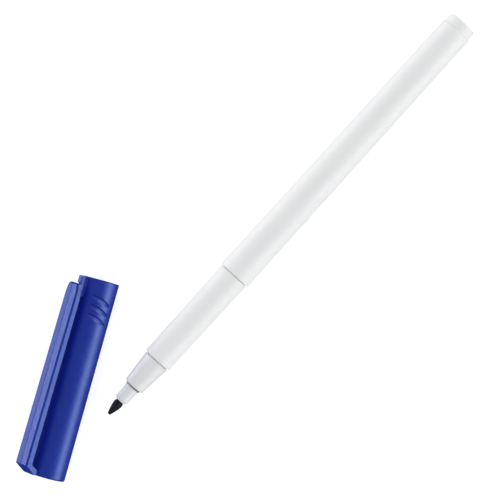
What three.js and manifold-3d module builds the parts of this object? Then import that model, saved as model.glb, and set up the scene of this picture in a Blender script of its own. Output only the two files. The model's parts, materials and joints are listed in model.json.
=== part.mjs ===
// Fabric marking pen with its cap off: a fibre-tipped pen lying on its side and, beside it,
// the push-on cap with its clip.
//
// Units are millimetres. +Z is up and the pen lies along +Y with its nib towards -Y.
// Stations along the pen run from the tip of the nib (0) to the tail.
// The cap is drawn along its own +Y, from its closed end (0) to its mouth, then turned and laid
// beside the pen. The origin is at the centre of the whole, on the surface it lies on.

import * as THREE from 'three';
import { mergeVertices } from 'three/addons/utils/BufferGeometryUtils.js';
import Module from 'manifold-3d';

const wasm = await Module();
wasm.setup();

// ---- driving dimensions ---------------------------------------------------------------------

const SEGMENTS = 40;              // facets round every turned piece
const CUTTER_SEGMENTS = 96;       // facets round a tool that cuts a piece
const CUTTER_SIDES = 12;          // facets round the section of a ring-shaped tool
const WELD = 1e-4;                // vertices closer than this are one
const SEAM = 0.3;                 // gap left where two pieces meet end to end

const NIB = {
  tipRadius: 0.57,                // rounding of the point
  swell: 1.1,                     // above 1, the point is slimmer than a quarter of a sine wave
  headRadius: 1.29, headAt: 3.9,  // widest part of the pointed head
  napeRadius: 1.2255, napeAt: 4.3,
  rodRadius: 1.0, rodFrom: 4.8,   // straight rod behind the head
  rear: 33.0,
};
const COLLAR = {
  front: 4.65, frontRadius: 1.88, chamfer: 0.58,
  rear: 15.0, rearRadius: 1.96, bore: 1.2,
};
const CONE = {
  front: 9.3, frontRadius: 2.17,            // edge round the collar
  rampEnd: 10.0, rampRadius: 2.55,          // chamfer up to the rounded rim
  rimAt: 10.18, rimFrontRadius: 2.84,
  rimEnd: 10.4, rimRadius: 2.92,
  shoulder: 19.05, shoulderRadius: 3.75,    // full width, just ahead of the barrel's lip
  spigotRadius: 3.25, rear: 27.0,           // pressed into the barrel
  seat: 9.45, seatRadius: 2.1, seatEnd: 15.3, nibBore: 1.3,
};
const FRONT = {
  lip: 19.35, lipRadius: 4.17, lipRound: 0.5, lipEnd: 20.8,
  neckRadius: 4.1, neckAt: 21.3,            // just behind the lip
  seat: 49.7, seatRadius: 4.39,             // where the cap's mouth stops
  spigotRadius: 3.86, spigotRear: 62.0,     // pressed into the rear barrel
  bore: 3.5,
};
const REAR = {
  front: 49.95, frontRadius: 4.78, edge: 0.22,
  rear: 138.0, rearRadius: 4.43, rearEdge: 0.3,
  socketBore: 4.03, socketEnd: 62.6,
  bore: 3.86, rearBore: 3.66,
};
const PLUG = {
  headFront: REAR.rear + SEAM, headRadius: 4.1, headRear: 140.8,
  frontEdge: 0.3, rearEdge: 0.45,
  spigotRadius: 3.44, spigotFront: 130.0, hollow: 2.75, hollowEnd: 137.2,
};
const RESERVOIR = { front: 27.5, rear: 126.0, radius: 3.05, nibSocket: 1.35, socketEnd: 33.5 };
const WRAP = { front: 28.2, rear: 125.3, inner: 3.2, outer: 3.36 };

const CAP = {
  length: 54.5, radius: 4.95, edge: 0.5,
  crown: 1.6,                               // thickness of the closed end
  mouthBore: 4.48, lipBore: 4.36, lipAt: 23.4,
  noseBore: 3.85, noseBoreAt: 22.2, crownBore: 3.7,
};
const LINER = { front: 1.9, flange: 3.45, flangeEnd: 2.7, outer: 2.8, bore: 2.15, floor: 2.9, rear: 13.2 };

const CLIP_ANGLE = 54;            // degrees from straight up, towards the side away from the pen
const CLIP = {
  width: 5.54, thickness: 1.65, edge: 0.4,
  tip: 52.2, tipRadius: 8.33,               // outer face at the free end
  heel: 2.0, heelRadius: 8.97,              // outer corner above the closed end
  footRadius: 5.5, footTop: 1.5,            // foot where it meets the cap
  footInside: 4.95,                         // top of the foot's straight inner side
  rootRadius: 3.95, rootWidth: 3.6,         // the foot narrows towards the cap's axis
  kneeRadius: 7.3, kneeAt: 2.75,            // inside corner under the blade
  clearance: 0.3,                           // gap kept between the foot and the cap
  margin: 0.1, overrun: 1,                  // how far the trimming section passes the blade
};
const RIB = {
  width: 1.7, length: 5.7, sunk: 0.3,      // its root lies this far inside the cap's skin
  frontHeight: 6.7, frontLength: 1.95,     // raised end ahead of the clip's tip
  height: 6.2, stepLength: 2.2,            // low part that the tip rests over
  levelLength: 3.99,                       // where the low part starts to fall to the cap
};

const GRIP = {
  count: 3, first: 5.3, pitch: 2.52,        // distances from the mouth
  angle: 21,                                // degrees round from straight up, on the pen's side
  lean: 20,                                 // degrees between a scoop and a ring round the cap
  depth: 0.3, sweep: 8.6, halfWidth: 1.2,
};

const CAP_TURN = 26.58;                     // degrees between the loose cap and the pen
const CAP_MOUTH = { x: -25.39, y: 25.13 };  // centre of the mouth, from the tip of the nib

// ---- materials ------------------------------------------------------------------------------

function plastic(color, roughness) {
  return new THREE.MeshStandardMaterial({ color, roughness, metalness: 0 });
}
const WHITE = 0xf2f2f1;
const NATURAL = 0xdfe3e8;
const BLUE = 0x2438a8;
const BLACK_FIBRE = 0x10131c;
const INKED_FELT = 0x1c2452;
const CLEAR_FILM = 0xcfd6e6;
const SOFT_WHITE = 0xe8ebf0;

// ---- shared shape tools ---------------------------------------------------------------------

const radians = THREE.MathUtils.degToRad;

// Points on a round corner of a turned profile, as [radius, station] pairs.
function corner(radius, station, size, from, to, steps = 4) {
  return Array.from({ length: steps + 1 }, (_, i) => {
    const angle = radians(from + ((to - from) * i) / steps);
    return [radius + size * Math.cos(angle), station + size * Math.sin(angle)];
  });
}

// A solid turned about the +Y axis. A ring's outline is closed; a solid's starts and ends on the axis.
function turned(outline, closed = false) {
  const points = outline.map(([radius, station]) => new THREE.Vector2(radius, station));
  if (closed) points.push(points[0].clone());
  return new THREE.LatheGeometry(points, SEGMENTS);
}

// The manifold solid of a closed geometry.
function toSolid(geometry) {
  const bare = new THREE.BufferGeometry();
  bare.setAttribute('position', geometry.getAttribute('position').clone());
  bare.setIndex(geometry.index ? geometry.index.clone() : null);
  const merged = mergeVertices(bare, WELD);
  const index = merged.index.array;
  const kept = [];
  for (let i = 0; i < index.length; i += 3) {
    const [a, b, c] = [index[i], index[i + 1], index[i + 2]];
    if (a !== b && b !== c && c !== a) kept.push(a, b, c);
  }
  const vertProperties = new Float32Array(merged.getAttribute('position').array);
  return new wasm.Manifold(new wasm.Mesh({ numProp: 3, vertProperties, triVerts: new Uint32Array(kept) }));
}

function toGeometry(solid) {
  const mesh = solid.getMesh();
  const geometry = new THREE.BufferGeometry();
  geometry.setAttribute('position', new THREE.BufferAttribute(new Float32Array(mesh.vertProperties), 3));
  geometry.setIndex(new THREE.BufferAttribute(new Uint32Array(mesh.triVerts), 1));
  geometry.computeVertexNormals();
  return geometry;
}

function piece(name, geometry, material) {
  const mesh = new THREE.Mesh(geometry, material);
  mesh.name = name;
  return mesh;
}

// ---- pen ------------------------------------------------------------------------------------

// Pointed fibre rod: a rounded point, a swelling head, a short shoulder and a long rod.
function nib() {
  const { tipRadius, swell, headRadius, headAt, napeRadius, napeAt, rodRadius, rodFrom, rear } = NIB;
  const steps = 7;
  const head = Array.from({ length: steps }, (_, i) => {
    const t = (i + 1) / steps;
    const station = tipRadius + (headAt - tipRadius) * t;
    return [tipRadius + (headRadius - tipRadius) * Math.sin((t * Math.PI) / 2) ** swell, station];
  });
  return turned([
    [0, 0],
    ...corner(0, tipRadius, tipRadius, -60, -10, 3),
    ...head,
    [napeRadius, napeAt],
    [rodRadius, rodFrom],
    [rodRadius, rear],
    [0, rear],
  ]);
}

// Short tube that grips the nib and stands out of the cone.
function nibCollar() {
  const { front, rear, frontRadius, rearRadius, bore, chamfer } = COLLAR;
  return turned([
    [bore, front],
    [frontRadius - chamfer, front],
    [frontRadius, front + chamfer],
    [rearRadius, CONE.front],
    [rearRadius, rear],
    [bore, rear],
  ], true);
}

// Tapered nose insert: a rounded rim at the front, a spigot inside the barrel at the back.
function noseCone() {
  const c = CONE;
  return turned([
    [c.seatRadius, c.seat],
    [c.frontRadius, c.front],
    [c.rampRadius, c.rampEnd],
    [c.rimFrontRadius, c.rimAt],
    [c.rimRadius, c.rimEnd],
    [c.shoulderRadius, c.shoulder],
    [c.spigotRadius, c.shoulder],
    [c.spigotRadius, c.rear],
    [c.nibBore, c.rear],
    [c.nibBore, c.seatEnd],
    [c.seatRadius, c.seatEnd],
  ], true);
}

// Front half of the barrel: a rolled lip, a slowly widening grip and the spigot for the rear half.
function frontBarrel() {
  const f = FRONT;
  return turned([
    [f.bore, f.lip],
    ...corner(f.lipRadius - f.lipRound, f.lip + f.lipRound, f.lipRound, -90, 0, 5),
    [f.lipRadius, f.lipEnd],
    [f.neckRadius, f.neckAt],
    [f.seatRadius, f.seat],
    [f.spigotRadius, f.seat],
    [f.spigotRadius, f.spigotRear],
    [f.bore, f.spigotRear],
  ], true);
}

// Rear half of the barrel: a tube that tapers to the tail.
function rearBarrel() {
  const r = REAR;
  return turned([
    [r.socketBore, r.front],
    ...corner(r.frontRadius - r.edge, r.front + r.edge, r.edge, -90, 0, 3),
    ...corner(r.rearRadius - r.rearEdge, r.rear - r.rearEdge, r.rearEdge, 0, 90, 3),
    [r.rearBore, r.rear],
    [r.bore, r.socketEnd],
    [r.socketBore, r.socketEnd],
  ], true);
}

// Plug pressed into the tail: a short head and a hollow spigot, open towards the nib.
function endPlug() {
  const p = PLUG;
  return turned([
    [p.hollow, p.spigotFront],
    [p.spigotRadius, p.spigotFront],
    [p.spigotRadius, p.headFront],
    ...corner(p.headRadius - p.frontEdge, p.headFront + p.frontEdge, p.frontEdge, -90, 0, 3),
    ...corner(p.headRadius - p.rearEdge, p.headRear - p.rearEdge, p.rearEdge, 0, 90, 3),
    [0, p.headRear],
    [0, p.hollowEnd],
    [p.hollow, p.hollowEnd],
    [p.hollow, p.spigotFront],
  ]);
}

// Felt core that holds the ink, with a socket for the end of the nib.
function inkReservoir() {
  const r = RESERVOIR;
  return turned([
    [0, r.socketEnd],
    [r.nibSocket, r.socketEnd],
    [r.nibSocket, r.front],
    [r.radius, r.front],
    [r.radius, r.rear],
    [0, r.rear],
  ]);
}

// Film sleeve wrapped round the felt core.
function reservoirWrap() {
  const { front, rear, inner, outer } = WRAP;
  return turned([[inner, front], [outer, front], [outer, rear], [inner, rear]], true);
}

// ---- cap ------------------------------------------------------------------------------------

// Turned body of the cap: a flat closed end and a stepped bore.
function capBody() {
  const c = CAP;
  return turned([
    [0, 0],
    ...corner(c.radius - c.edge, c.edge, c.edge, -90, 0),
    [c.radius, c.length],
    [c.mouthBore, c.length],
    [c.lipBore, c.lipAt],
    [c.noseBore, c.noseBoreAt],
    [c.crownBore, c.crown],
    [0, c.crown],
  ]);
}

// Turns a shape drawn with its radial direction along +Z round the cap's axis.
function roundTheCap(geometry, degrees) {
  return geometry.rotateY(radians(degrees));
}

// Rib at the mouth: raised ahead of the clip's tip, and lower under it.
function stopRib() {
  const r = RIB;
  const root = CAP.radius - r.sunk;
  const outline = new THREE.Shape([
    new THREE.Vector2(CAP.length - r.length, root),
    new THREE.Vector2(CAP.length, root),
    new THREE.Vector2(CAP.length, r.frontHeight),
    new THREE.Vector2(CAP.length - r.frontLength, r.frontHeight),
    new THREE.Vector2(CAP.length - r.stepLength, r.height),
    new THREE.Vector2(CAP.length - r.levelLength, r.height),
  ]);
  return roundTheCap(extrudedAcross(outline, r.width), -CLIP_ANGLE);
}

// Extrudes an outline drawn as (station, radius) to a width centred on the cap's axis.
function extrudedAcross(outline, width, edge = 0) {
  const geometry = new THREE.ExtrudeGeometry(outline, {
    depth: width - 2 * edge, steps: 1,
    bevelEnabled: edge > 0, bevelThickness: edge, bevelSize: edge, bevelOffset: -edge, bevelSegments: 1,
  });
  geometry.translate(0, 0, -width / 2 + edge);
  const toCap = new THREE.Matrix4().makeBasis(
    new THREE.Vector3(0, 1, 0), new THREE.Vector3(0, 0, 1), new THREE.Vector3(1, 0, 0));
  return geometry.applyMatrix4(toCap);
}

// One grip scoop: a large ring whose inner side grazes the cap, leaning across it.
function gripCutter(fromMouth) {
  const { angle, lean, depth, sweep, halfWidth } = GRIP;
  const ring = new THREE.TorusGeometry(sweep + halfWidth, halfWidth, CUTTER_SIDES, CUTTER_SEGMENTS);
  ring.rotateX(Math.PI / 2);
  ring.rotateZ(radians(-lean));
  ring.translate(0, 0, CAP.radius - depth - sweep);
  roundTheCap(ring, angle);
  return ring.translate(0, CAP.length - fromMouth, 0);
}

function capShell() {
  let shell = toSolid(capBody()).add(toSolid(stopRib()));
  for (let i = 0; i < GRIP.count; i += 1) {
    shell = shell.subtract(toSolid(gripCutter(GRIP.first + i * GRIP.pitch)));
  }
  return toGeometry(shell);
}

// The clip looked at along the cap: full width down to the knee, then narrowing towards the axis.
function clipSection() {
  const { width, rootWidth, rootRadius, kneeRadius, heelRadius, margin, overrun } = CLIP;
  const half = width / 2 + margin;
  const top = heelRadius + overrun;
  return new THREE.Shape([
    new THREE.Vector2(-rootWidth / 2, rootRadius - margin),
    new THREE.Vector2(rootWidth / 2, rootRadius - margin),
    new THREE.Vector2(half, kneeRadius),
    new THREE.Vector2(half, top),
    new THREE.Vector2(-half, top),
    new THREE.Vector2(-half, kneeRadius),
  ]);
}

// Clip: a long blade and a sloping foot, drawn in profile and bevelled along its edges.
function capClip() {
  const k = CLIP;
  const outline = new THREE.Shape([
    new THREE.Vector2(0, k.rootRadius),
    new THREE.Vector2(0, k.footRadius),
    new THREE.Vector2(k.heel, k.heelRadius),
    new THREE.Vector2(k.tip - k.edge, k.tipRadius),
    new THREE.Vector2(k.tip, k.tipRadius - k.edge),
    new THREE.Vector2(k.tip, k.tipRadius - k.thickness),
    new THREE.Vector2(k.kneeAt, k.kneeRadius),
    new THREE.Vector2(k.footTop, k.footInside),
    new THREE.Vector2(k.footTop, k.rootRadius),
  ]);
  const depth = k.tip + 2 * k.overrun;
  const section = new THREE.ExtrudeGeometry(clipSection(), { depth, bevelEnabled: false });
  section.rotateX(Math.PI / 2).translate(0, k.tip + k.overrun, 0);
  const bar = toSolid(extrudedAcross(outline, k.width, k.edge)).intersect(toSolid(section));
  const blade = toSolid(roundTheCap(toGeometry(bar), -CLIP_ANGLE));
  const radius = CAP.radius + k.clearance;
  const room = new THREE.CylinderGeometry(radius, radius, 3 * CAP.length, CUTTER_SEGMENTS);
  return toGeometry(blade.subtract(toSolid(room)));
}

// Soft cup inside the closed end that seals round the collar.
function innerCap() {
  const l = LINER;
  return turned([
    [0, l.front],
    [l.flange, l.front],
    [l.flange, l.flangeEnd],
    [l.outer, l.flangeEnd],
    [l.outer, l.rear],
    [l.bore, l.rear],
    [l.bore, l.floor],
    [0, l.floor],
  ]);
}

// ---- assembly -------------------------------------------------------------------------------

const pen = new THREE.Group();
pen.position.z = REAR.frontRadius;
pen.add(
  piece('nib', nib(), plastic(BLACK_FIBRE, 0.9)),
  piece('nib_collar', nibCollar(), plastic(NATURAL, 0.3)),
  piece('nose_cone', noseCone(), plastic(NATURAL, 0.3)),
  piece('front_barrel', frontBarrel(), plastic(WHITE, 0.4)),
  piece('rear_barrel', rearBarrel(), plastic(WHITE, 0.4)),
  piece('end_plug', endPlug(), plastic(WHITE, 0.4)),
  piece('ink_reservoir', inkReservoir(), plastic(INKED_FELT, 0.95)),
  piece('reservoir_wrap', reservoirWrap(), plastic(CLEAR_FILM, 0.25)),
);

const cap = new THREE.Group();
const turn = radians(CAP_TURN);
cap.rotation.z = turn;
cap.position.set(
  CAP_MOUTH.x + CAP.length * Math.sin(turn),
  CAP_MOUTH.y - CAP.length * Math.cos(turn),
  CAP.radius);
cap.add(
  piece('cap_shell', capShell(), plastic(BLUE, 0.35)),
  piece('cap_clip', capClip(), plastic(BLUE, 0.35)),
  piece('inner_cap', innerCap(), plastic(SOFT_WHITE, 0.6)),
);

const markingPen = new THREE.Group();
markingPen.add(pen, cap);
const box = new THREE.Box3().setFromObject(markingPen, true);
markingPen.position.set(-(box.min.x + box.max.x) / 2, -(box.min.y + box.max.y) / 2, -box.min.z);

export default markingPen;
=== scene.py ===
"""Fabric marking pen with its cap off: the visible pieces, their materials, the studio and the camera.

Lengths in the shape functions are millimetres. A pen piece is drawn along +Y from the nib's tip, and
a cap piece along +Y from the cap's closed end; each is then placed where the CAD frame has it.
"""
import json
import math

import bmesh
import bpy
from mathutils import Matrix, Vector


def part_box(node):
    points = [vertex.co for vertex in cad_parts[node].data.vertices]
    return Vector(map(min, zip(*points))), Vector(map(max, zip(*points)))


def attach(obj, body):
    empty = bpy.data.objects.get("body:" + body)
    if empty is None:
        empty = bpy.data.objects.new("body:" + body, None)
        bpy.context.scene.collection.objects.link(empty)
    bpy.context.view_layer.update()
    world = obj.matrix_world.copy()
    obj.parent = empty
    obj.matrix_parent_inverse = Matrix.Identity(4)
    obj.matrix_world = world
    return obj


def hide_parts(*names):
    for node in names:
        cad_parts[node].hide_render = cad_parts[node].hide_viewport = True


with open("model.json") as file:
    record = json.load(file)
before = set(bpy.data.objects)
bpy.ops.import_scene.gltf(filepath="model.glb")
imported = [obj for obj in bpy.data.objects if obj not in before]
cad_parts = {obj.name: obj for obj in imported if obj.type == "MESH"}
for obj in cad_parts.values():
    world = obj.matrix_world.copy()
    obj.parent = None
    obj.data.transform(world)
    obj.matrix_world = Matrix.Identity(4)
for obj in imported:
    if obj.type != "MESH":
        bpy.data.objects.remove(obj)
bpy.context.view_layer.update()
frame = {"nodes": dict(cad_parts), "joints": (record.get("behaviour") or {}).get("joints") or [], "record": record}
MM = 0.001
AXIS = 1e-6      # a radius below this is a point on the axis

# ---- where things are, from the frame ---------------------------------------------------------


def mount(name):
    return next(m for m in frame["record"]["mounts"] if m["name"] == name)


def joint(name):
    return next(j for j in frame["joints"] if j["name"] == name)


def pen_place():
    """The pen's own frame: the tip of the nib, with +Y towards the tail."""
    low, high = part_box("nib")
    return Matrix.Translation(((low.x + high.x) / 2, low.y, (low.z + high.z) / 2))


def cap_place():
    """The cap's own frame: the centre of its closed end, with +Y towards its mouth and +Z up."""
    face = mount("cap_end_face")
    along = -Vector(face["axis"]).normalized()
    up = Vector((0, 0, 1))
    place = Matrix((along.cross(up), along, up)).transposed().to_4x4()
    place.translation = Vector(face["pos_m"])
    return place


def clip_place():
    """The clip's own frame: as the cap's, but with +Z out through the clip and +X across it."""
    place = cap_place()
    along = place.to_3x3() @ Vector((0, 1, 0))
    across = Vector(joint("clip_flex")["axis"]).normalized()
    turned = Matrix((across, along, across.cross(along))).transposed().to_4x4()
    turned.translation = place.translation
    return turned


PEN = pen_place()
CAP = cap_place()
CLIP = clip_place()


def station(node, end):
    """Distance of a pen node's front (0) or rear (1) from the tip of the nib, in millimetres."""
    return (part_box(node)[end].y - PEN.translation.y) / MM


def widest(node):
    """Largest radius of a pen node, in millimetres."""
    low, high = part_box(node)
    return (high.z - low.z) / 2 / MM


# ---- mesh tools -------------------------------------------------------------------------------


def arc(radius, along, size, start, end, steps=8):
    """Points on a round corner of a profile, as (radius, station), angles in degrees."""
    angles = [math.radians(start + (end - start) * i / steps) for i in range(steps + 1)]
    return [(radius + size * math.cos(a), along + size * math.sin(a)) for a in angles]


def line(start, end, steps):
    """Points from start to end, the end included and the start left out."""
    return [tuple(s + (e - s) * i / steps for s, e in zip(start, end)) for i in range(1, steps + 1)]


def turned_mesh(profile, segments=192, closed=False, relief=None):
    """A bmesh turned about +Y. relief(angle, radius, station) gives the radius at a point of the skin."""
    bm = bmesh.new()
    rings = []
    for radius, along in profile:
        if radius < AXIS:
            rings.append([bm.verts.new((0, along, 0))])
            continue
        ring = []
        for i in range(segments):
            angle = 2 * math.pi * i / segments
            r = relief(angle, radius, along) if relief else radius
            ring.append(bm.verts.new((r * math.sin(angle), along, r * math.cos(angle))))
        rings.append(ring)
    pairs = list(zip(rings, rings[1:]))
    if closed:
        pairs.append((rings[-1], rings[0]))
    for a, b in pairs:
        for i in range(segments):
            j = (i + 1) % segments
            corners = [a[i % len(a)], a[j % len(a)], b[j % len(b)], b[i % len(b)]]
            unique = list(dict.fromkeys(corners))
            if len(unique) > 2:
                bm.faces.new(unique)
    bmesh.ops.recalc_face_normals(bm, faces=bm.faces)
    return bm


def lofted_mesh(loops):
    """A closed bmesh through loops of equally many points, with a face over each end."""
    bm = bmesh.new()
    rings = [[bm.verts.new(point) for point in loop] for loop in loops]
    for a, b in zip(rings, rings[1:]):
        for i in range(len(a)):
            j = (i + 1) % len(a)
            bm.faces.new([a[i], a[j], b[j], b[i]])
    bm.faces.new(rings[0])
    bm.faces.new(list(reversed(rings[-1])))
    return bm


def make_piece(name, bm, place, body, material, node=None, sharp=35):
    """Turns a bmesh in millimetres into a finished piece that rides on a body."""
    mesh = bpy.data.meshes.new(name)
    bmesh.ops.transform(bm, matrix=place @ Matrix.Scale(MM, 4), verts=bm.verts)
    bmesh.ops.recalc_face_normals(bm, faces=bm.faces)
    bm.to_mesh(mesh)
    bm.free()
    mesh.shade_smooth()
    mesh.set_sharp_from_angle(angle=math.radians(sharp))
    mesh.materials.append(material)
    piece = bpy.data.objects.new(name, mesh)
    bpy.context.scene.collection.objects.link(piece)
    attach(piece, body)
    if node:
        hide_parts(node)
    return piece


# ---- materials --------------------------------------------------------------------------------


def node_of(tree, kind, **values):
    node = tree.nodes.new(kind)
    for key, value in values.items():
        setattr(node, key, value)
    return node


def noise(tree, scale, detail=3.0, stretch=(1, 1, 1)):
    """A noise texture in the piece's own coordinates, its scale in features per metre."""
    where = node_of(tree, "ShaderNodeTexCoord")
    squeeze = node_of(tree, "ShaderNodeMapping")
    squeeze.inputs["Scale"].default_value = stretch
    texture = node_of(tree, "ShaderNodeTexNoise")
    texture.inputs["Scale"].default_value = scale
    texture.inputs["Detail"].default_value = detail
    tree.links.new(where.outputs["Object"], squeeze.inputs["Vector"])
    tree.links.new(squeeze.outputs["Vector"], texture.inputs["Vector"])
    return texture.outputs["Fac"]


def spread(tree, value, low, high, from_low=0.3, from_high=0.7):
    """Maps a texture's value to the range low to high."""
    mapped = node_of(tree, "ShaderNodeMapRange")
    mapped.inputs["From Min"].default_value = from_low
    mapped.inputs["From Max"].default_value = from_high
    mapped.inputs["To Min"].default_value = low
    mapped.inputs["To Max"].default_value = high
    tree.links.new(value, mapped.inputs["Value"])
    return mapped.outputs["Result"]


def blend_colours(tree, factor, first, second):
    mix = node_of(tree, "ShaderNodeMix", data_type="RGBA")
    tree.links.new(factor, mix.inputs["Factor"])
    mix.inputs["A"].default_value = (*first, 1)
    mix.inputs["B"].default_value = (*second, 1)
    return mix.outputs["Result"]


def bump(tree, height, strength, distance):
    node = node_of(tree, "ShaderNodeBump")
    node.inputs["Strength"].default_value = strength
    node.inputs["Distance"].default_value = distance
    tree.links.new(height, node.inputs["Height"])
    return node.outputs["Normal"]


def new_material(name):
    material = bpy.data.materials.new(name)
    material.use_nodes = True
    tree = material.node_tree
    return material, tree, tree.nodes["Principled BSDF"]


def product(tree, first, second):
    node = node_of(tree, "ShaderNodeMath", operation="MULTIPLY")
    tree.links.new(first, node.inputs[0])
    tree.links.new(second, node.inputs[1])
    return node.outputs["Value"]


def paint_groove_shade(tree, colour, band):
    """Paints shade into a colour over a band of stations on the pen, in millimetres: a painted shadow in the
    groove behind the collar, stronger towards +X.
    """
    soft, reach = 0.05 * MM, 2 * MM
    least, most = 0.55, 0.92
    # near-black colour of the painted shade in the groove
    painted_shade = (0.02, 0.022, 0.03, 1)
    where = node_of(tree, "ShaderNodeTexCoord")
    split = node_of(tree, "ShaderNodeSeparateXYZ")
    tree.links.new(where.outputs["Object"], split.inputs["Vector"])
    start, end = [(PEN @ Vector((0, s * MM, 0))).y for s in band]
    rise = spread(tree, split.outputs["Y"], 0, 1, start - soft, start + soft)
    fall = spread(tree, split.outputs["Y"], 1, 0, end - 2 * soft, end + 2 * soft)
    axis = PEN.translation.x
    # the painted shade is weaker towards -X of the pen's axis and stronger towards +X
    side = spread(tree, split.outputs["X"], least, most, axis - reach, axis + reach)
    mix = node_of(tree, "ShaderNodeMix", data_type="RGBA")
    tree.links.new(product(tree, product(tree, rise, fall), side), mix.inputs["Factor"])
    tree.links.new(colour, mix.inputs["A"])
    mix.inputs["B"].default_value = painted_shade
    return mix.outputs["Result"]


def moulded_plastic(name, colour, shade, roughness, grain=0.06, tint=(1, 1, 1), painted_shade=None):
    """Injection-moulded plastic: slow colour drift, uneven gloss and a fine orange-peel skin."""
    drift_scale, gloss_scale, peel_scale = 90, 700, 2600
    uneven, peel_height = 0.15, 0.06 * MM
    material, tree, shader = new_material(name)
    drift = spread(tree, noise(tree, drift_scale, 2), 0, 1)
    skin = blend_colours(tree, drift, colour, shade)
    # where a band is given, painted shade goes into the colour along it
    if painted_shade:
        skin = paint_groove_shade(tree, skin, painted_shade)
    tree.links.new(skin, shader.inputs["Base Color"])
    gloss = spread(tree, noise(tree, gloss_scale, 4), roughness * (1 - uneven), roughness * (1 + uneven))
    tree.links.new(gloss, shader.inputs["Roughness"])
    peel = bump(tree, noise(tree, peel_scale, 3), grain, peel_height)
    tree.links.new(peel, shader.inputs["Normal"])
    shader.inputs["Specular Tint"].default_value = (*tint, 1)
    return material


def fibre(name, colour, shade, stretch):
    """Pressed fibre soaked in ink: matt, with fine strands along it."""
    strand_scale, strand_height = 9000, 0.08 * MM
    smoothest, roughest = 0.75, 0.95
    material, tree, shader = new_material(name)
    strands = noise(tree, strand_scale, 5, stretch)
    skin = blend_colours(tree, spread(tree, strands, 0, 1), colour, shade)
    tree.links.new(skin, shader.inputs["Base Color"])
    tree.links.new(spread(tree, strands, smoothest, roughest), shader.inputs["Roughness"])
    tree.links.new(bump(tree, strands, 0.5, strand_height), shader.inputs["Normal"])
    shader.inputs["Specular IOR Level"].default_value = 0.2
    return material


WHITE = moulded_plastic("white_plastic", (0.835, 0.84, 0.848), (0.85, 0.855, 0.86), 0.6)
NATURAL = moulded_plastic("natural_plastic", (0.745, 0.765, 0.785), (0.765, 0.782, 0.80), 0.5)
GROOVE_BAND = (9.5, 9.92)     # stations of the groove behind the collar, on the pen, that get painted shade
# the cone's colour carries painted shade in the groove behind the collar
CONE_PLASTIC = moulded_plastic("cone_plastic", (0.76, 0.77, 0.785), (0.78, 0.79, 0.80), 0.52,
                               painted_shade=GROOVE_BAND)
BLUE = moulded_plastic("blue_plastic", (0.0035, 0.0165, 0.325), (0.0045, 0.0185, 0.345), 0.4, 0.1,
                       tint=(0.62, 0.92, 1))
LINER = moulded_plastic("liner_plastic", (0.72, 0.74, 0.76), (0.75, 0.77, 0.79), 0.55)
NIB_FIBRE = fibre("nib_fibre", (0.004, 0.005, 0.010), (0.011, 0.013, 0.022), (1, 0.12, 1))
INK_FELT = fibre("ink_felt", (0.012, 0.02, 0.14), (0.02, 0.035, 0.2), (1, 0.2, 1))
FILM = moulded_plastic("clear_film", (0.7, 0.74, 0.8), (0.73, 0.77, 0.83), 0.2)

# ---- pen --------------------------------------------------------------------------------------


def nib():
    """Pointed fibre head, swelling and then drawn in at the collar, on its straight rod."""
    tip, head, head_at, slimness = 0.57, widest("nib"), 3.9, 1.1
    rod, rod_from, rear = 1.0, 4.8, station("nib", 1)
    swell_steps, shoulder_steps = 36, 10
    ripples = [(1.0, 23, 0.7), (0.6, 41, -1.3), (0.5, 9, 2.1)]   # share, number round, twist per mm
    strand_height = 0.006    # share of the radius

    swell = [(tip + (head - tip) * math.sin(t * math.pi / 2) ** slimness, tip + (head_at - tip) * t)
             for t in [i / swell_steps for i in range(1, swell_steps + 1)]]
    shoulder = [(head - (head - rod) * (1 - math.cos(t * math.pi)) / 2, head_at + (rod_from - head_at) * t)
                for t in [i / shoulder_steps for i in range(1, shoulder_steps + 1)]]
    profile = [(0, 0), *arc(0, tip, tip, -80, -8, 8), *swell, *shoulder, (rod, rear), (0, rear)]

    def strands(angle, radius, along):
        ripple = sum(share * math.sin(count * angle + twist * along) for share, count, twist in ripples)
        return radius * (1 + strand_height * ripple)

    bm = turned_mesh(profile, segments=144, relief=strands)
    return make_piece("nib_fibre_head", bm, PEN, "pen", NIB_FIBRE, "nib", sharp=60)


def nib_collar():
    """Tube round the nib, with a chamfered front."""
    front, rear = station("nib_collar", 0), station("nib_collar", 1)
    seam = station("nose_cone", 0) - 0.02
    root = widest("nib_collar")
    face, chamfer, bore = root - 0.08, 0.56, 1.16
    lead, edge, shoulder, shoulder_at = 0.1, 0.06, 0.14, chamfer + 0.1
    profile = [*arc(bore + lead, front + lead, lead, 180, 255, 4),
               *arc(face - chamfer, front + edge, edge, -80, -50, 3),
               *arc(face - shoulder, front + shoulder_at, shoulder, -42, -2, 5),
               *line((face, front + chamfer + shoulder), (root, seam), 6),
               (root, rear), (bore, rear)]
    bm = turned_mesh(profile, closed=True)
    return make_piece("nib_collar_sleeve", bm, PEN,
                      "pen", NATURAL, "nib_collar", sharp=30)


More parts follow.
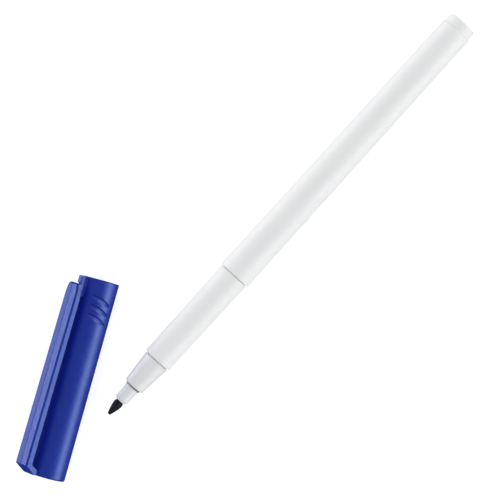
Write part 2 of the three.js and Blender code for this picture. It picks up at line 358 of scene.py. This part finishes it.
def nose_cone():
    """Tapered nose: a thin ring round the collar, a groove darkened with painted shade, a chamfer, a soft rim and
    a long cone.
    """
    front, rear = station("nose_cone", 0), station("nose_cone", 1)
    shoulder, wide, edge, crown = front + 9.75, widest("nose_cone"), 0.1, 0.01
    inside, inside_edge, seat_end = 1.985, 0.05, front + 6
    ring, ring_edge, ring_end = 2.2, 0.14, 0.19
    groove, groove_from, groove_to = 2.08, 0.24, 0.48
    chamfer, chamfer_at = 2.38, 0.54
    rim, rim_at, rim_edge = 2.93, front + 1.16, 0.42
    spigot, bore = 3.25, 1.3
    profile = [(inside, front + inside_edge), (inside + inside_edge, front),
               (ring - ring_edge, front + crown), (ring - crown, front + ring_edge),
               (ring, front + ring_end), (groove, front + groove_from),
               (groove, front + groove_to), (chamfer, front + chamfer_at),
               *arc(rim - rim_edge, rim_at, rim_edge, -52, -3, 10),
               *line((rim, rim_at), (wide - crown, shoulder - edge), 12),
               *arc(wide - edge, shoulder - edge, edge, 10, 90, 5),
               (spigot, shoulder), (spigot, rear), (bore, rear), (bore, seat_end), (inside, seat_end)]
    bm = turned_mesh(profile, closed=True)
    return make_piece("nose_cone_insert", bm, PEN,
                      "pen", CONE_PLASTIC, "nose_cone", sharp=30)


def front_barrel():
    """Grip: a rolled lip, a step down to the neck, a slow taper to the cap's seat, and a spigot."""
    front, rear = station("front_barrel", 0), station("front_barrel", 1)
    seat, seat_radius, edge = station("rear_barrel", 0) - 0.12, widest("front_barrel"), 0.1
    lip, roll, lip_from, lip_to = 4.17, 0.5, front + 0.6, front + 1.2
    step, step_at, neck, neck_at = 0.3, front + 1.25, 4.11, front + 1.8
    mouth, mouth_at, bore, bore_at, spigot = 3.8, front + 0.3, 3.65, front + 3, 3.86
    profile = [(bore, bore_at), (mouth, mouth_at),
               *arc(lip - roll, front + roll, roll, -150, -2, 16),
               *line((lip, lip_from), (lip, lip_to), 2),
               *arc(lip - step, step_at, step, 5, 40, 4),
               *line((neck, neck_at), (seat_radius, seat - edge), 24),
               *arc(seat_radius - edge, seat - edge, edge, 5, 90, 4),
               (spigot, seat), (spigot, rear), (bore, rear)]
    bm = turned_mesh(profile, closed=True)
    return make_piece("front_barrel_grip", bm, PEN, "pen", WHITE, "front_barrel")


def rear_barrel():
    """Tube that tapers slowly from the cap's stop to the tail, with a soft edge at each end."""
    front, rear = station("rear_barrel", 0), station("rear_barrel", 1)
    radius, tail = widest("rear_barrel"), 4.43
    edge, tail_edge, bore = 0.2, 0.28, 3.66
    socket, socket_edge, socket_end = 4.4, 0.1, front + 1.2
    profile = [*arc(socket, front + socket_edge, socket_edge, 180, 270, 3),
               *arc(radius - edge, front + edge, edge, -88, -2, 8),
               *line((radius, front + edge), (tail, rear - tail_edge), 40),
               *arc(tail - tail_edge, rear - tail_edge, tail_edge, 4, 90, 8),
               (bore, rear), (bore, socket_end), (socket - socket_edge, socket_end)]
    bm = turned_mesh(profile, closed=True)
    return make_piece("rear_barrel_tube", bm, PEN, "pen", WHITE, "rear_barrel")


def end_plug():
    """Head of the tail plug, with a small moulding gate in the middle of its flat end."""
    front, rear = station("end_plug", 0), station("end_plug", 1)
    head, radius, weld = station("rear_barrel", 1) + 0.02, widest("end_plug"), 1e-5
    flare, flare_edge, fillet, fillet_at = radius + 0.12, head + 0.04, 0.46, head + 0.16
    side_from, taper, edge = head + 0.4, 0.03, 0.5
    spigot, hollow, hollow_end = 3.44, 2.75, rear - 3
    gate, gate_edge, gate_flat, gate_rim = 0.9, 0.1, 1.05, 0.75
    gate_floor, gate_pip = rear - 0.2, rear - 0.16
    profile = [(hollow, front), (spigot, front), (spigot, head), (flare, head), (flare, flare_edge),
               *arc(radius + fillet, fillet_at, fillet, 195, 178, 3),
               *line((radius, side_from), (radius - taper, rear - edge), 3),
               *arc(radius - taper - edge, rear - edge, edge, 2, 90, 10),
               (gate_flat, rear), *arc(gate, rear - gate_edge, gate_edge, 60, 170, 4),
               (gate_rim, gate_floor), (0, gate_pip),
               (0, hollow_end), (hollow, hollow_end), (hollow, front)]
    bm = turned_mesh(profile)
    bmesh.ops.remove_doubles(bm, verts=bm.verts, dist=weld)
    return make_piece("end_plug_head", bm, PEN, "pen", WHITE, "end_plug")


# ---- cap --------------------------------------------------------------------------------------

CAP_LENGTH = 54.5
CAP_RADIUS = 4.95
SCOOPS = {"count": 3, "first": 5.3, "pitch": 2.52, "angle": 21.7, "lean": 19.0,
          "half_length": 3.15, "half_width": 0.7, "depth": 0.5,
          "wall": 0.2, "floor_curve": 1.2, "end_curve": 0.6}


def scoop_depth(angle, along):
    """How far the grip scoops sink into the cap's skin: a steep wall, then a floor that rises again."""
    s = SCOOPS
    lean = math.radians(s["lean"])
    around = (angle - math.radians(s["angle"]) + math.pi) % (2 * math.pi) - math.pi
    across = around * CAP_RADIUS
    deepest = 0.0
    for i in range(s["count"]):
        up = along - (CAP_LENGTH - s["first"] - i * s["pitch"])
        u = (across * math.cos(lean) - up * math.sin(lean)) / s["half_length"]
        v = (across * math.sin(lean) + up * math.cos(lean)) / s["half_width"]
        if abs(u) >= 1:
            continue
        reach = (1 - u * u) ** 0.5
        if abs(v) >= reach:
            continue
        fall = (reach - v) / (2 * reach)
        wall = min(1.0, fall / s["wall"])
        wall = wall * wall * (3 - 2 * wall)
        rise = 1 - max(0.0, (fall - s["wall"]) / (1 - s["wall"])) ** s["floor_curve"]
        deepest = max(deepest, s["depth"] * wall * rise * reach ** s["end_curve"])
    return deepest


def cap_shell():
    """Cap body: a soft-edged closed end, scooped grips near the mouth and a stepped bore."""
    length, radius, edge = CAP_LENGTH, CAP_RADIUS, 0.5
    grip_low, grip_high, rim = length - 13.4, length - 2.0, 0.1
    gate, gate_depth, gate_at, gate_flat = 0.8, 0.12, 0.95, 1.2
    mouth, lead, lead_end = 4.6, 4.48, length - 0.25
    before, ridge, behind, ramp = 4.47, 4.42, 4.46, 0.3
    ridge_from, ridge_to = length - 3.5, length - 4.3
    lip, lip_at, nose, nose_at = 4.36, 23.4, 3.85, 22.2
    crown, crown_at, floor_edge, floor_at = 3.7, 1.9, 3.5, 1.6
    outer = [(0, gate_depth), (gate, gate_depth), *arc(gate_at, gate_depth, gate_depth, 190, 265, 3),
             (gate_flat, 0), *line((gate_flat, 0), (radius - edge, 0), 4),
             *arc(radius - edge, edge, edge, -84, -3, 10),
             *line((radius, edge), (radius, grip_low), 12),
             *line((radius, grip_low), (radius, grip_high), 170),
             *line((radius, grip_high), (radius, length - rim), 3),
             *arc(radius - rim, length - rim, rim, 15, 90, 4)]
    bore = [(mouth, length), *line((mouth, length), (lead, lead_end), 2), (before, ridge_from + ramp),
            (ridge, ridge_from), (ridge, ridge_to), (behind, ridge_to - ramp), (lip, lip_at),
            (nose, nose_at), (crown, crown_at), (floor_edge, floor_at), (0, floor_at)]
    skin = radius - 0.01

    def grips(angle, r, along):
        return r - scoop_depth(angle, along) if r > skin else r

    bm = turned_mesh([*outer, *bore], segments=320, relief=grips)
    return make_piece("cap_shell_body", bm, CAP, "cap", BLUE, "cap_shell", sharp=40)


def stop_rib():
    """Rib at the mouth: raised ahead of the clip's tip, lower under it, and filleted into the cap."""
    end, foot, half, fillet, blunt = CAP_LENGTH - 0.02, 4.25, 0.8, 1.4, 0.2
    sweep_from, tallest_sweep, straight, sweep_steps = foot + 0.15, 1.5, 0.4, 10
    high, low, edge, nick = 6.7, 6.2, 0.06, 0.04
    high_to, high_end, low_from, low_at, low_to = 1.86, 1.95, 2.14, 2.24, 4.0
    slope, slope_at, sunk, sunk_at = 5.85, 4.8, 5.3, 5.5

    def section(height):
        """Half of the rib's outline, from its root to its top, as (offset, radius) points."""
        rise = min(tallest_sweep, height - foot - straight)
        sweep = [(half + fillet * (1 - math.sin(t)), sweep_from + rise * (1 - math.cos(t)))
                 for t in [i * math.pi / (2 * sweep_steps) for i in range(sweep_steps + 1)]]
        return [(half + fillet, foot), *sweep, *arc(half - blunt, height - blunt, blunt, 0, 90, 5)]

    heights = [(0, high - edge), (edge, high), (high_to, high), (high_end, high - nick),
               (low_from, low + nick), (low_at, low), (low_to, low), (slope_at, slope), (sunk_at, sunk)]
    stations = [(end - back, height) for back, height in heights]
    loops = []
    for along, height in stations:
        side = section(height)
        outline = [*side, *[(-x, r) for x, r in reversed(side)]]
        loops.append([(x, along, r) for x, r in outline])
    return make_piece("cap_stop_rib", lofted_mesh(loops), CLIP, "cap", BLUE, sharp=32)


def cap_clip():
    """Clip: a gabled blade with a fine groove down its middle, chamfered edges and a sloping foot."""
    half, chamfer, ridge, gable = 2.82, 0.42, 1.3, 0.1
    groove, groove_depth = 0.1, 0.11
    tip, tip_reach, tip_curve = 52.2, 1.3, 1.3
    outer_pinch, inner_pinch, tip_drop, tip_slope = 0.27, 0.13, 0.05, 0.35
    base, knee, pinch = 3.95, 7.3, 0.35
    foot, slope_end, slope_steps = (5.95, 0.02), (8.75, 1.81), 6
    heel_round, heel = [(8.92, 1.94), (9.01, 2.08)], (9.02, 2.3)
    bend, top, tip_chamfer = (8.46, 46), (8.39, tip - 0.5), [(8.35, tip - 0.42), (7.98, tip)]
    tip_round, under_tip = [(6.85, tip), (6.72, tip - 0.1)], (6.68, tip - 0.3)
    under_knee, knee_round, under_foot = (7.28, 3.05), (7.22, 2.75), (7.08, 2.55)
    foot_inside, root = (5.0, 1.5), (base, 1.4)

    def narrowing(along):
        """1 at the tip, falling to 0 a few millimetres behind it."""
        return math.exp(-((max(0.0, tip - along) / tip_reach) ** tip_curve))

    def waist(r):
        """Share of the full width: less below the knee, towards the cap's axis."""
        return 1 - pinch * max(0.0, knee - r) / (knee - base)

    outer = [(base, foot[1]), foot, *line(foot, slope_end, slope_steps), *heel_round,
             heel, *line(heel, bend, 20), *line(bend, top, 14), *tip_chamfer]
    inner = [*tip_round, under_tip, *line(under_tip, under_knee, 24),
             knee_round, under_foot, *line(under_foot, foot_inside, 4), root]
    across = [(-half, chamfer), (-half + chamfer, 0), (-ridge, 0), (-groove, 0), (0, groove_depth),
              (groove, 0), (ridge, 0), (half - chamfer, 0), (half, chamfer)]
    loops = []
    for x, sink in across:
        crest = gable * (1 - abs(x) / half)
        loop = []
        for i, (r, along) in enumerate(outer):
            drop = sink if i > 0 else 0
            crown = crest if i > slope_steps else 0
            slim = narrowing(along)
            back = tip_slope * sink if i == len(outer) - 1 else 0
            loop.append((x * waist(r) * (1 - outer_pinch * slim), along - back,
                         r - drop + crown - tip_drop * slim))
        for r, along in inner:
            loop.append((x * waist(r) * (1 - inner_pinch * narrowing(along)), along, r))
        loops.append(loop)
    return make_piece("cap_clip_blade", lofted_mesh(loops), CLIP,
                      "clip", BLUE, "cap_clip", sharp=12)


# ---- inner pieces, hidden in use ---------------------------------------------------------------


def finish_inner_nodes():
    finishes = {"ink_reservoir": INK_FELT, "reservoir_wrap": FILM, "inner_cap": LINER}
    for name, material in finishes.items():
        mesh = frame["nodes"][name].data
        mesh.materials.clear()
        mesh.materials.append(material)


# ---- studio -----------------------------------------------------------------------------------

TURN = 42.19   # degrees the picture is turned round from the pen's own direction


def floor():
    """A plain white light table, kept out of reflections so that dark edges stay dark."""
    radius, grey, glow = 4, 0.5, 0.72
    bm = bmesh.new()
    bmesh.ops.create_circle(bm, cap_ends=True, radius=radius, segments=96)
    mesh = bpy.data.meshes.new("floor")
    bm.to_mesh(mesh)
    bm.free()
    material, _, shader = new_material("floor_white")
    shader.inputs["Base Color"].default_value = (grey, grey, grey, 1)
    shader.inputs["Roughness"].default_value = 0.9
    shader.inputs["Specular IOR Level"].default_value = 0.1
    shader.inputs["Emission Color"].default_value = (1, 1, 1, 1)
    shader.inputs["Emission Strength"].default_value = glow
    mesh.materials.append(material)
    plane = bpy.data.objects.new("floor", mesh)
    bpy.context.scene.collection.objects.link(plane)
    plane.visible_glossy = False
    plane.visible_shadow = False


def soft_box(name, target, azimuth, elevation, distance, size, radiance):
    """A soft box for the highlights only. It faces the target from a direction given in degrees."""
    light = bpy.data.lights.new(name, "AREA")
    light.shape = "RECTANGLE"
    light.size, light.size_y = size
    light.energy = math.pi * size[0] * size[1] * radiance
    lamp = bpy.data.objects.new(name, light)
    a, e = math.radians(azimuth), math.radians(elevation)
    towards = Vector((math.cos(a) * math.cos(e), math.sin(a) * math.cos(e), math.sin(e)))
    lamp.location = target + distance * towards
    lamp.rotation_euler = (target - lamp.location).to_track_quat("-Z", "Y").to_euler()
    lamp.visible_diffuse = False
    bpy.context.scene.collection.objects.link(lamp)
    return lamp


def left_out(name, pieces):
    """A collection for a lamp's light linking that leaves some pieces out."""
    group = bpy.data.collections.new(name)
    for piece in pieces:
        group.objects.link(bpy.data.objects[piece])
    for entry in group.collection_objects:
        entry.light_linking.link_state = "EXCLUDE"
    return group


def sky():
    """Even light from a pale room, dimmer overhead and towards the near side of the table.

    Reflections show the soft boxes instead.
    """
    horizon, overhead = 1.12, 0.78
    near_shade, shade_from = 0.7, 0.6
    world = bpy.data.worlds.new("studio")
    world.use_nodes = True
    tree = world.node_tree
    where = node_of(tree, "ShaderNodeTexCoord")
    split = node_of(tree, "ShaderNodeSeparateXYZ")
    tree.links.new(where.outputs["Generated"], split.inputs["Vector"])
    level = spread(tree, split.outputs["Z"], horizon, overhead, 0.0, 1.0)
    towards = node_of(tree, "ShaderNodeVectorMath", operation="DOT_PRODUCT")
    tree.links.new(where.outputs["Generated"], towards.inputs[0])
    near = math.radians(TURN)
    towards.inputs[1].default_value = (math.sin(near), -math.cos(near), 0)
    shade = spread(tree, towards.outputs["Value"], 1.0, near_shade, shade_from, 1.0)
    tree.links.new(product(tree, level, shade), tree.nodes["Background"].inputs["Strength"])
    tree.nodes["Background"].inputs["Color"].default_value = (1, 1, 1, 1)
    bpy.context.scene.world = world
    world.cycles_visibility.glossy = False


def camera():
    """Straight down on the pen, turned so that it lies as in a flat-lay picture, through a long lens."""
    view_width, height, sensor = 0.13333, 0.9, 36
    aside, along = -1.43, 57.755      # the picture's middle, in the pen's own frame
    data = bpy.data.cameras.new("camera")
    data.sensor_width = sensor
    data.lens = sensor * height / view_width
    eye = bpy.data.objects.new("camera", data)
    middle = PEN @ Vector((aside * MM, along * MM, 0))
    eye.location = middle + Vector((0, 0, height))
    eye.rotation_euler = (0, 0, math.radians(TURN))
    bpy.context.scene.collection.objects.link(eye)
    bpy.context.scene.camera = eye
    return middle


def studio():
    """A long box on each side and a faint one above.

    The left box leaves out the cap's shell, and the cap casts no shade of it.
    """
    middle = camera()
    floor()
    sky()
    soft_box("right_box", middle, azimuth=30, elevation=20, distance=0.8, size=(1.7, 0.56), radiance=5.2)
    left = soft_box("left_box", middle, azimuth=200, elevation=-5, distance=0.8, size=(1.4, 0.5),
                    radiance=4.6)
    soft_box("top_box", middle, azimuth=200, elevation=62, distance=1.3, size=(1.4, 1.0), radiance=0.15)
    left.light_linking.receiver_collection = left_out("not_lit_from_left", ["cap_shell_body"])
    left.light_linking.blocker_collection = left_out(
        "no_shade_from_left", ["cap_shell_body", "cap_stop_rib", "cap_clip_blade"])
    bpy.context.scene.view_settings.view_transform = "Standard"


for build in (nib, nib_collar, nose_cone, front_barrel, rear_barrel, end_plug,
              cap_shell, stop_rib, cap_clip):
    build()
finish_inner_nodes()
studio()
